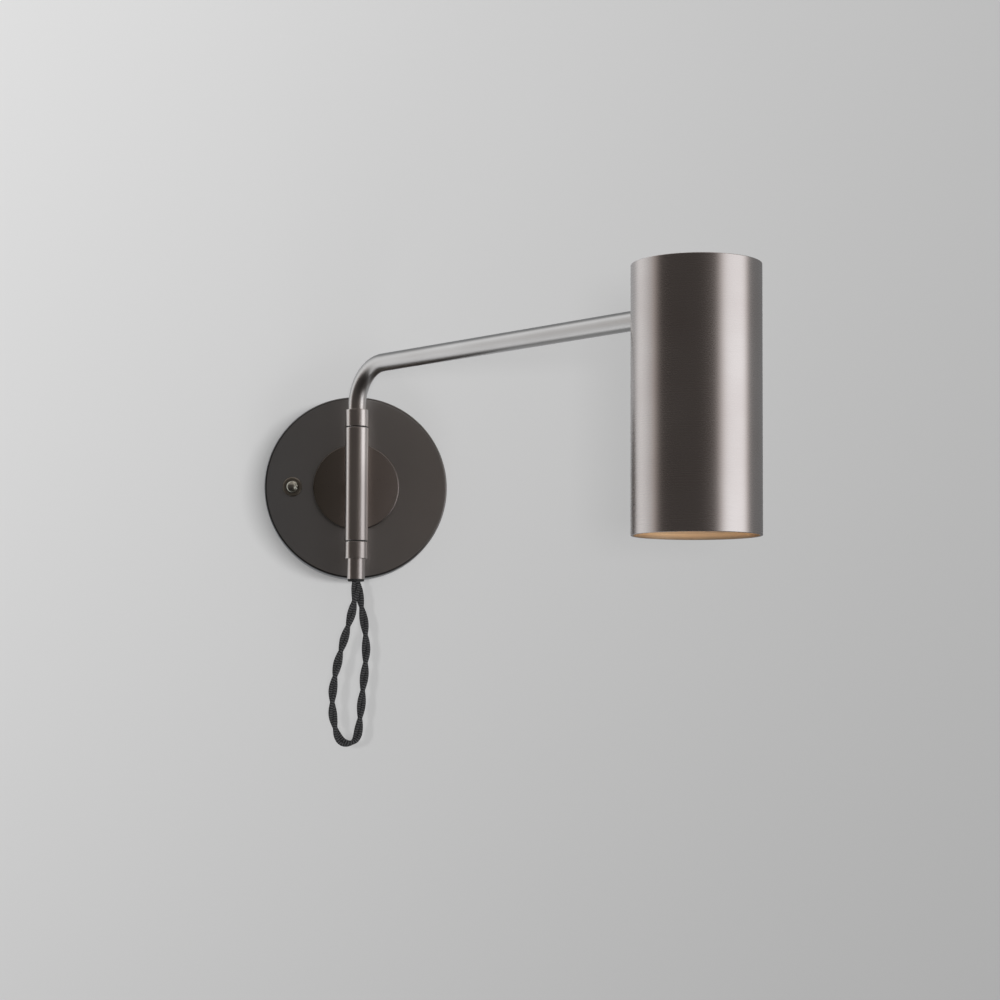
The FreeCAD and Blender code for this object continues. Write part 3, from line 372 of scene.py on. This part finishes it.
def make_materials():
    return {
        # The plate's and the boss's colours hold painted shade: darker on the left, lighter on the
        # right.
        "plate_metal": disc_metal("plate_metal", (0.505, 0.515, 0.52), (0.64, 0.59, 0.555), 0.34,
                                  PLATE_RADIUS, 0.0490, 0.30),
        "boss_metal": disc_metal("boss_metal", (0.27, 0.235, 0.195), (0.72, 0.63, 0.585), 0.30,
                                 BOSS_RADIUS, 0.0230, 0.35),
        "bright_metal": sleeve_metal_with_painted_shade("bright_metal", (0.655, 0.635, 0.615),
                                      (0.60, 0.575, 0.555), 0.30),
        "ring_metal": metal("ring_metal", (0.34, 0.31, 0.26), (0.28, 0.25, 0.21), 0.42,
                            (900, 900, 900)),
        "button_metal": metal("button_metal", (0.56, 0.55, 0.48), (0.48, 0.47, 0.40), 0.22,
                              (900, 900, 900)),
        "shade_metal": shade_metal(),
        "steel": metal("steel", (0.56, 0.56, 0.56), (0.47, 0.47, 0.48), 0.35,
                       (800, 800, 800), 0.12),
        "spring_steel": metal("spring_steel", (0.50, 0.50, 0.51), (0.42, 0.42, 0.43), 0.28,
                              (900, 900, 900)),
        "brass": metal("brass", (0.78, 0.57, 0.26), (0.68, 0.47, 0.20), 0.30, (800, 800, 800)),
        "bush_plastic": plain("bush_plastic", (0.012, 0.012, 0.012), (0.02, 0.02, 0.02), 0.45),
        "black_rubber": plain("black_rubber", (0.010, 0.010, 0.010), (0.02, 0.02, 0.02), 0.68),
        "black_plastic": plain("black_plastic", (0.02, 0.02, 0.02), (0.035, 0.035, 0.035), 0.4),
        "block_plastic": plain("block_plastic", (0.80, 0.80, 0.76), (0.74, 0.74, 0.70), 0.4),
        "cord_fabric": cord_fabric(),
        "wire_plastic": plain("wire_plastic", (0.20, 0.09, 0.045), (0.16, 0.07, 0.035), 0.35),
        "ceramic": plain("ceramic", (0.85, 0.84, 0.80), (0.80, 0.79, 0.75), 0.6),
        "lamp_plastic": plain("lamp_plastic", (0.82, 0.82, 0.80), (0.78, 0.78, 0.76), 0.35),
        "lamp_glass": plain("lamp_glass", (0.90, 0.91, 0.90), (0.84, 0.85, 0.84), 0.35,
                            (300, 300, 300), 0.4, 0.0002, Transmission_Weight=0.35),
    }


def dress_nodes(materials):
    slots = {s["node"]: s["material_slot"] for s in frame["record"]["subparts"]}
    for name, node in NODES.items():
        node.data.materials.clear()
        node.data.materials.append(materials[slots[name]])


# ---------------------------------------------------------------- meshes
def loose(name, vertices, faces):
    """A smooth-shaded object with sharp corners kept."""
    mesh = bpy.data.meshes.new(name)
    mesh.from_pydata(vertices, [], faces)
    for polygon in mesh.polygons:
        polygon.use_smooth = True
    mesh.set_sharp_from_angle(angle=SHARP_ANGLE)
    made = bpy.data.objects.new(name, mesh)
    bpy.context.scene.collection.objects.link(made)
    return made


def dressed(made, body, slot, replaced=(), material=None):
    """Gives a loose object a material and its body, and hides the nodes that it stands for. Its
    material is the slot's, unless another one is named."""
    made.data.materials.clear()
    made.data.materials.append(MATERIALS[material or slot])
    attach(made, body)
    if replaced:
        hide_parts(*replaced)
    return made


def softened(profile, closed):
    """The profile's (radius, height, bevel) corners, each with a bevel rounded off. A point just
    before and after each bevel keeps the faces beside it flat in the light."""
    points, count = [], len(profile)
    for k, (radius, height, bevel) in enumerate(profile):
        here = Vector((radius, height))
        if not bevel or (not closed and k in (0, count - 1)):
            points.append(here)
            continue
        before, after = Vector(profile[k - 1][:2]), Vector(profile[(k + 1) % count][:2])
        ways = [(other - here).normalized() for other in (before, after)]
        start, end = (here + way * bevel for way in ways)
        points.append(here + ways[0] * bevel * 1.2)
        for step in range(BEVEL_STEPS + 1):
            t = step / BEVEL_STEPS
            points.append(start * (1 - t) ** 2 + here * 2 * t * (1 - t) + end * t ** 2)
        points.append(here + ways[1] * bevel * 1.2)
    return points


def lathe(name, profile, place, sides, closed=True):
    """Turns a profile in millimetres about the z axis of a place. An open profile starts and
    ends on the axis."""
    points = [p / 1000 for p in softened(profile, closed)]
    vertices, faces, rings = [], [], []
    for radius, height in points:
        rings.append(len(vertices))
        count = sides if radius > 1e-7 else 1
        vertices += [place @ Vector((radius * math.cos(2 * math.pi * k / sides),
                                     radius * math.sin(2 * math.pi * k / sides), height))
                     for k in range(count)]
    pairs = list(zip(range(len(points)), range(1, len(points))))
    if closed:
        pairs.append((len(points) - 1, 0))
    for a, b in pairs:
        flat_a, flat_b = points[a][0] <= 1e-7, points[b][0] <= 1e-7
        for k in range(sides):
            after = (k + 1) % sides
            near = [rings[a]] if flat_a else [rings[a] + k, rings[a] + after]
            far = [rings[b]] if flat_b else [rings[b] + after, rings[b] + k]
            if len(near) + len(far) > 2:
                faces.append(near + far)
    return loose(name, vertices, faces)


def carved(made, *cutters):
    """Cuts loose objects out of another one, and removes them."""
    for cutter in cutters:
        cut = made.modifiers.new("cut", "BOOLEAN")
        cut.operation, cut.solver, cut.object = "DIFFERENCE", "EXACT", cutter
    bpy.context.view_layer.update()
    result = bpy.data.meshes.new_from_object(made.evaluated_get(
        bpy.context.evaluated_depsgraph_get()))
    made.modifiers.clear()
    made.data = result
    result.set_sharp_from_angle(angle=SHARP_ANGLE)
    for cutter in cutters:
        bpy.data.objects.remove(cutter)
    return made


def rod(radius, low, high, bevel=0.0):
    """The profile of a plain bar from end to end."""
    return [(0, low, 0), (radius, low, bevel), (radius, high, bevel), (0, high, 0)]


def on_wall(x=0.0, z=0.0):
    """A place on the wall whose z axis points off it."""
    return Matrix.Translation((x, 0, z)) @ Matrix.Rotation(math.pi / 2, 4, "X")


ON_SWING = Matrix.Translation((0, -STANDOFF, 0))
IN_SHADE = Matrix.Translation((*SHADE_AXIS, 0))


# ---------------------------------------------------------------- pieces of the lamp
def make_plate_pieces():
    """The pan, the round boss, the stand-off, the switch and the cord's grommet."""
    pan = lathe("pan", [(0, 16, 0), (48.2, 16, 0.4), (48.2, 0, 0.12), (50, 0, 0.2),
                        (50, 18, 1.2), (0, 18, 0)], on_wall(), WIDE_SIDES, False)
    across = Matrix.Translation((0, -RIM_SCREW_Y, 0))
    carved(pan, lathe("stem_hole", rod(5.1, 10, 20), on_wall(), HOLE_SIDES, False),
           lathe("switch_hole", rod(4.4, 10, 20), on_wall(SWITCH_X), HOLE_SIDES, False),
           lathe("cord_hole", rod(4.52, 10, 20), on_wall(0, GROMMET_Z), HOLE_SIDES, False),
           lathe("screw_hole", rod(2.1, -60, 60), across, SCREW_SIDES, False))
    dressed(pan, "wall", "plate_metal", ["wall_plate"])
    boss = lathe("boss", [(5.2, 18, 0), (23.5, 18, 0), (23.5, 21.0, 0.12), (23.0, 21.5, 0.12),
                          (5.2, 21.5, 0)], on_wall(), BOSS_SIDES)
    dressed(boss, "wall", "boss_metal", ["boss_disc"])
    stem = lathe("stem", [(0, 9.9, 0), (4.7, 9.9, 0), (5.0, 10.3, 0), (5.0, 21.5, 0),
                          (5.5, 21.5, 0), (5.5, 37.9, 0), (0, 37.9, 0)], on_wall(), NARROW_SIDES,
                 False)
    carved(stem, lathe("cope", rod(6.31, -30.6, 30.6), ON_SWING, MIDDLE_SIDES, False))
    dressed(stem, "wall", "bright_metal", ["standoff_stem"])
    bezel = lathe("bezel", [(1.6, 11, 0), (4.3, 11, 0.2), (4.3, 18, 0), (5.3, 18, 0),
                            (5.3, 18.9, 0.15), (4.8, 19.4, 0.15), (3.48, 19.4, 0.12),
                            (3.48, 12, 0), (1.6, 12, 0)], on_wall(SWITCH_X), RING_SIDES)
    dressed(bezel, "wall", "bright_metal", ["switch_bezel"], "ring_metal")
    dome_radius = (BUTTON_RADIUS ** 2 + BUTTON_DOME ** 2) / (2 * BUTTON_DOME)
    dome_edge = math.asin(BUTTON_RADIUS / dome_radius)
    dome = [(dome_radius * math.sin(a), BUTTON_TOP - dome_radius * (1 - math.cos(a)), 0)
            for a in (dome_edge * (1 - k / DOME_STEPS) for k in range(DOME_STEPS + 1))]
    button = lathe("button", [(0, 9.7, 0), (2.2, 9.7, 0), (2.2, 10.7, 0), (1.3, 10.7, 0),
                              (1.3, 15.6, 0), (BUTTON_RADIUS, 15.6, 0)] + dome,
                   on_wall(SWITCH_X), NARROW_SIDES, False)
    dressed(button, "button", "bright_metal", ["switch_button"], "button_metal")
    grommet = lathe("grommet", [(2.42, 14.8, 0.2), (5.5, 14.8, 0.3), (5.5, 16.0, 0.1),
                                (4.5, 16.0, 0), (4.5, 18.0, 0), (5.5, 18.0, 0.1),
                                (5.5, 19.3, 0.5), (2.42, 19.3, 0.5)],
                    on_wall(0, GROMMET_Z), NARROW_SIDES)
    dressed(grommet, "wall", "black_rubber", ["cord_grommet"])


def make_swing_pieces():
    """The sleeve, its two collars with their set screws and the bush at the tube's end."""
    barrel = lathe("barrel", [(5.47, -30.6, 0), (6.3, -30.6, 0.4), (6.3, 30.6, 0.4),
                              (5.47, 30.6, 0), (5.47, 22.6, 0), (5.06, 22.6, 0),
                              (5.06, -22.6, 0), (5.47, -22.6, 0)], ON_SWING, MIDDLE_SIDES)
    dressed(barrel, "wall", "bright_metal", ["pivot_barrel"])
    for side, name in ((1, "upper"), (-1, "lower")):
        low, high = sorted((side * 31.1, side * 40.3))
        collar = lathe(name + "_ring", [(4.77, low, 0.1), (6.15, low, 0.35), (6.15, high, 0.35),
                                        (4.77, high, 0.1)], ON_SWING, MIDDLE_SIDES)
        back = (Matrix.Translation((0, -STANDOFF, side * COLLAR_SCREW_Z))
                @ Matrix.Rotation(-SWING, 4, "Z") @ Matrix.Rotation(-math.pi / 2, 4, "Y"))
        carved(collar, lathe("tap", rod(1.3, 4, 7), back, SCREW_SIDES, False))
        dressed(collar, "arm", "bright_metal", [name + "_collar"])
        screw = lathe(name + "_set_screw", rod(1.25, 4.8, 6.0, bevel=0.12), back, SCREW_SIDES,
                      False)
        carved(screw, lathe("socket", rod(0.72, 5.2, 7), back, HEX, False))
        dressed(screw, "arm", "steel", ["collar_screws"] if side > 0 else [])
    bush = lathe("end_bush", [(2.42, -52.5, 0.3), (4.4, -52.5, 0.35), (4.4, -51.3, 0),
                              (3.7, -51.3, 0), (3.7, -45.3, 0), (2.42, -45.3, 0)],
                 ON_SWING, RING_SIDES)
    dressed(bush, "arm", "black_rubber", ["cord_bush"])


def make_head_pieces():
    """The shade, its cap and the lamp inside."""
    shade = lathe("shade", [(28.8, -39.4, 0.2), (30.0, -39.4, 0.25), (30.0, 84.7, 0.25),
                            (29.4, 84.7, 0.1), (29.4, 81.7, 0), (28.8, 81.7, 0)],
                  IN_SHADE, WIDE_SIDES)
    dressed(shade, "head", "shade_metal", ["shade_tube"])
    cap = lathe("cap", [(0, 81.7, 0), (29.38, 81.7, 0), (29.38, 84.7, 0.2), (0, 84.7, 0)],
                IN_SHADE, WIDE_SIDES, False)
    dressed(cap, "head", "shade_metal", ["top_cap"])
    rings = [(22.2 - k * 1.85 - 0.9 * (k % 2), -14.6 - 0.45 * (k % 2), 0.15) for k in range(12)]
    lens = lathe("lens", [(0, -13.5, 0), (23.5, -13.5, 0), (23.5, -15.1, 0.2)] + rings
                 + [(0, -14.6, 0)], IN_SHADE, MIDDLE_SIDES, False)
    dressed(lens, "head", "lamp_glass", ["bulb_lens"])
    lamp = lathe("lamp", [(23.6, -15.9, 0.2), (25.0, -15.9, 0.4), (25.0, -9.9, 1.6),
                          (16.0, 20.0, 6.0), (12.5, 27.6, 0.6), (11.1, 26.2, 0),
                          (22.6, -13.5, 0), (23.6, -13.5, 0)], IN_SHADE, MIDDLE_SIDES)
    dressed(lamp, "head", "lamp_plastic", ["bulb_body"])


def spline_points(route, steps):
    """Points along the NURBS spline whose control points are the route."""
    data = bpy.data.curves.new("route", "CURVE")
    data.dimensions = "3D"
    spline = data.splines.new("NURBS")
    spline.points.add(len(route) - 1)
    for point, place in zip(spline.points, route):
        point.co = (*place, 1)
    spline.order_u = 3
    spline.use_endpoint_u = True
    data.resolution_u = steps
    holder = bpy.data.objects.new("route", data)
    bpy.context.scene.collection.objects.link(holder)
    bpy.context.view_layer.update()
    line = bpy.data.meshes.new_from_object(holder.evaluated_get(
        bpy.context.evaluated_depsgraph_get()))
    points = [vertex.co.copy() for vertex in line.vertices]
    bpy.data.objects.remove(holder)
    bpy.data.meshes.remove(line)
    return points


def travelling_frames(points):
    """(point, side, up, distance) along a line, with the side carried on without twist."""
    frames, side, gone = [], None, 0.0
    for k, here in enumerate(points):
        before, after = points[max(k - 1, 0)], points[min(k + 1, len(points) - 1)]
        way = (after - before).normalized()
        if side is None:
            side = way.orthogonal().normalized()
        side = (side - way * side.dot(way)).normalized()
        gone += (here - points[k - 1]).length if k else 0.0
        frames.append((here, side, way.cross(side), gone))
    return frames


def tube_mesh(lines, radius, sides):
    """Vertices, faces and (turn, distance) of round tubes along lines of points."""
    vertices, faces, marks = [], [], []
    for line in lines:
        start = len(vertices)
        frames = travelling_frames(line)
        for here, side, up, gone in frames:
            for k in range(sides):
                turn = 2 * math.pi * k / sides
                vertices.append(here + (side * math.cos(turn) + up * math.sin(turn)) * radius)
                marks.append((k / sides, gone))
        for ring in range(len(frames) - 1):
            first = start + ring * sides
            for k in range(sides):
                after = (k + 1) % sides
                faces.append((first + k, first + after, first + sides + after, first + sides + k))
        faces.append([start + k for k in reversed(range(sides))])
        last = start + (len(frames) - 1) * sides
        faces.append([last + k for k in range(sides)])
    return vertices, faces, marks


def twisted_strands(points):
    """Two lines that twist round a line of points."""
    frames = travelling_frames(points)
    strands = []
    for half in (0, math.pi):
        strand = []
        for here, side, up, gone in frames:
            turns = (min(gone, TWIST_CHANGE) / TWIST_PITCHES[0]
                     + max(gone - TWIST_CHANGE, 0) / TWIST_PITCHES[1])
            angle = half + 2 * math.pi * turns
            strand.append(here + (side * math.cos(angle) + up * math.sin(angle)) * STRAND_OFFSET)
        strands.append(strand)
    return strands


def make_cord():
    """The free loop: two braided strands twisted round the route's spline."""
    points = spline_points(CORD_ROUTE, ROUTE_STEPS)
    vertices, faces, marks = tube_mesh(twisted_strands(points), STRAND_RADIUS, STRAND_SIDES)
    cord = dressed(loose("cord_pair", vertices, faces), "wall", "cord_fabric", ["cord_loop"])
    braid = cord.data.attributes.new("braid", "FLOAT_VECTOR", "POINT")
    for value, (turn, gone) in zip(braid.data, marks):
        value.vector = (turn, gone / BRAID_LENGTH, 0)
    return cord


# ---------------------------------------------------------------- studio
def wall_material():
    """Pale paint. Camera rays see it lifted to the photo's grey; mirror rays see a studio that is
    bright on the left and dark on the right and below; it can't be seen from behind."""
    made, tree, shader = new_material("wall_paint")
    output = tree.nodes["Material Output"]
    shader.inputs["Roughness"].default_value = 0.9
    shader.inputs["Specular IOR Level"].default_value = 0.1
    place = add(tree, "ShaderNodeNewGeometry")
    split = add(tree, "ShaderNodeSeparateXYZ", {}, {0: place.outputs["Position"]})
    x, z = split.outputs[0], split.outputs[2]
    near_x, near_z = (ranged(tree, value, -TONE_REACH, TONE_REACH, -TONE_REACH, TONE_REACH)
                      for value in (x, z))
    # Pale paint with painted light: lighter to the upper left, darker to the lower right.
    paint_and_painted_light = WALL_PAINT_AND_PAINTED_LIGHT[0]
    for factor, terms in zip(WALL_PAINT_AND_PAINTED_LIGHT[1:], ((near_x,), (near_z,), (near_x, near_x),
                                             (near_x, near_z))):
        term = math_node(tree, "MULTIPLY", terms[0], factor)
        if len(terms) > 1:
            term = math_node(tree, "MULTIPLY", term, terms[1])
        paint_and_painted_light = math_node(tree, "ADD", paint_and_painted_light, term)
    tree.links.new(paint_and_painted_light, shader.inputs["Base Color"])
    lift = add(tree, "ShaderNodeEmission", {}, {"Color": (1, 1, 1, 1), "Strength": WALL_LIFT})
    seen = add(tree, "ShaderNodeAddShader", {}, {0: shader.outputs[0], 1: lift.outputs[0]})
    start = WALL_BANDS[0][0]
    ramp = add(tree, "ShaderNodeValToRGB", {}, {0: ranged(tree, x, start, -start, 0, 1)})
    elements = ramp.color_ramp.elements
    for k, (where, level) in enumerate(WALL_BANDS):
        element = elements[k] if k < 2 else elements.new(1.0)
        element.position = (where - start) / (-2 * start)
        element.color = (level / 2, level / 2, level / 2, 1)
    low = ranged(tree, z, 0.02, -0.12, 0.0, 0.4, True)
    close = ranged(tree, x, -0.16, -0.05, 0.0, 1.0, True)
    dimmed = math_node(tree, "SUBTRACT", 1.0, math_node(tree, "MULTIPLY", low, close))
    cool = add(tree, "ShaderNodeVectorMath", {"operation": "MULTIPLY"},
               {0: ramp.outputs[0], 1: WALL_IN_METAL})
    mirror = add(tree, "ShaderNodeEmission", {},
                 {"Color": cool.outputs[0],
                  "Strength": math_node(tree, "MULTIPLY", dimmed, 2.0 * MIRROR_LEVEL)})
    path = add(tree, "ShaderNodeLightPath")
    front = add(tree, "ShaderNodeMixShader", {},
                {0: path.outputs["Is Glossy Ray"], 1: seen.outputs[0], 2: mirror.outputs[0]})
    see_through = add(tree, "ShaderNodeBsdfTransparent")
    final = add(tree, "ShaderNodeMixShader", {},
                {0: place.outputs["Backfacing"], 1: front.outputs[0], 2: see_through.outputs[0]})
    tree.links.new(final.outputs[0], output.inputs[0])
    return made


def make_wall():
    """A wall with a round opening behind the plate, as over a wall box."""
    count = NARROW_SIDES
    turns = [2 * math.pi * k / count for k in range(count)]
    ring = [(WALL_HOLE * math.cos(turn), 0.0, WALL_HOLE * math.sin(turn)) for turn in turns]
    outer = []
    for x, _, z in ring:
        grow = WALL_HALF / max(abs(x), abs(z))
        outer.append((x * grow, 0.0, z * grow))
    faces = [(k, (k + 1) % count, count + (k + 1) % count, count + k) for k in range(count)]
    mesh = bpy.data.meshes.new("wall")
    mesh.from_pydata(ring + outer, [], faces)
    mesh.materials.append(wall_material())
    if mesh.polygons[0].normal.y > 0:
        mesh.flip_normals()
    made = bpy.data.objects.new("studio_wall", mesh)
    bpy.context.scene.collection.objects.link(made)
    made.location.y = WALL_GAP


def area_light(name, place, target, size, watts, casters=()):
    """A soft light that metals don't mirror. Where casters are given, only they stop it."""
    data = bpy.data.lights.new(name, "AREA")
    data.shape, data.size, data.size_y, data.energy = "RECTANGLE", size[0], size[1], watts
    made = bpy.data.objects.new(name, data)
    bpy.context.scene.collection.objects.link(made)
    made.location = place
    made.rotation_mode = "QUATERNION"
    made.rotation_quaternion = (Vector(target) - Vector(place)).to_track_quat("-Z", "Y")
    made.visible_glossy = False
    if casters:
        held = bpy.data.collections.new(name + "_casters")
        for caster in casters:
            held.objects.link(caster)
        made.light_linking.blocker_collection = held
    return made


def make_world():
    """Mirror rays see a dark front, a tall soft box on the right, a bright far left and a dim
    ceiling; the rest is even light."""
    world = bpy.data.worlds.new("studio")
    bpy.context.scene.world = world
    world.use_nodes = True
    tree = world.node_tree
    background = tree.nodes["Background"]
    way = add(tree, "ShaderNodeTexCoord").outputs["Generated"]
    split = add(tree, "ShaderNodeSeparateXYZ", {}, {0: way})
    x, y, z = split.outputs
    azimuth = math_node(tree, "ARCTAN2", x, math_node(tree, "MULTIPLY", y, -1.0))

    def round_room(low, high, to_low, to_high):
        """A level that changes between two azimuths in degrees, from the front to the right."""
        return ranged(tree, azimuth, math.radians(low), math.radians(high), to_low, to_high, True)

    def up_room(low, high, to_low, to_high):
        return ranged(tree, z, low, high, to_low, to_high, True)

    wide = math_node(tree, "MULTIPLY", round_room(22, 46, 0, 1), round_room(78, 95, 1, 0))
    tall = math_node(tree, "MULTIPLY", up_room(-0.75, -0.35, 0, 1), up_room(0.22, 0.42, 1, 0.25))
    box = math_node(tree, "MULTIPLY", wide, tall)
    foot, left = round_room(-4, 22, 0, 0.06), round_room(-74, -98, 0, 0.9)
    side, top = round_room(60, 95, 0, 0.20), up_room(0.35, 0.8, 0, 0.35)
    level = math_node(tree, "ADD", 0.085, math_node(tree, "MULTIPLY", box, 1.70))
    for more in (foot, left, side, top):
        level = math_node(tree, "ADD", level, more)
    low = up_room(-0.55, -0.1, 0.45, 1.0)
    studio = math_node(tree, "MULTIPLY", level, math_node(tree, "MULTIPLY", low, MIRROR_LEVEL))
    path = add(tree, "ShaderNodeLightPath")
    strength = add(tree, "ShaderNodeMix", {"data_type": "FLOAT"},
                   {0: path.outputs["Is Glossy Ray"], 2: EVEN_LIGHT, 3: studio}).outputs[0]
    strength = add(tree, "ShaderNodeMix", {"data_type": "FLOAT"},
                   {0: path.outputs["Is Camera Ray"], 2: strength, 3: BACKDROP}).outputs[0]
    tree.links.new(strength, background.inputs["Strength"])
    in_metal = mixed(tree, box, MIRROR_WARM, MIRROR_COOL)
    tree.links.new(mixed(tree, path.outputs["Is Glossy Ray"], (1, 1, 1), in_metal),
                   background.inputs["Color"])


def make_studio(cord):
    make_wall()
    make_world()
    plate = [bpy.data.objects[name] for name in ("pan", "boss", "bezel")]
    area_light("key", (0.91, -2.64, 0.15), LAMP_MIDDLE, (1.93, 0.34), KEY_WATTS, plate)
    front = area_light("front", (-0.02, -2.8, -0.2), LAMP_MIDDLE, (0.3, 0.3), FRONT_WATTS)
    unlit = bpy.data.collections.new("front_unlit")
    for number, name in enumerate(("cord_pair", "shade")):
        unlit.objects.link(bpy.data.objects[name])
        unlit.collection_objects[number].light_linking.link_state = "EXCLUDE"
    front.light_linking.receiver_collection = unlit
    area_light("cord_side", (-0.52, -2.7, 0.0), LAMP_MIDDLE, (0.12, 0.12), SIDE_WATTS, [cord])
    area_light("floor_bounce", (0.2, -0.7, -1.1), (0.15, -0.2, 0.0), (0.8, 0.5), BOUNCE_WATTS)
    inside = area_light("inside", (0.12, -0.42, -0.75), (*SHADE_AXIS, 0.0), (0.4, 0.4),
                        INSIDE_WATTS)
    lit = bpy.data.collections.new("inside_lit")
    for name in ("shade", "cap", "lens", "lamp"):
        lit.objects.link(bpy.data.objects[name])
    inside.light_linking.receiver_collection = lit
    bpy.context.scene.view_settings.view_transform = "Standard"


make_camera()
MATERIALS = make_materials()
CORD = make_cord()
dress_nodes(MATERIALS)
make_plate_pieces()
make_swing_pieces()
make_head_pieces()
make_studio(CORD)
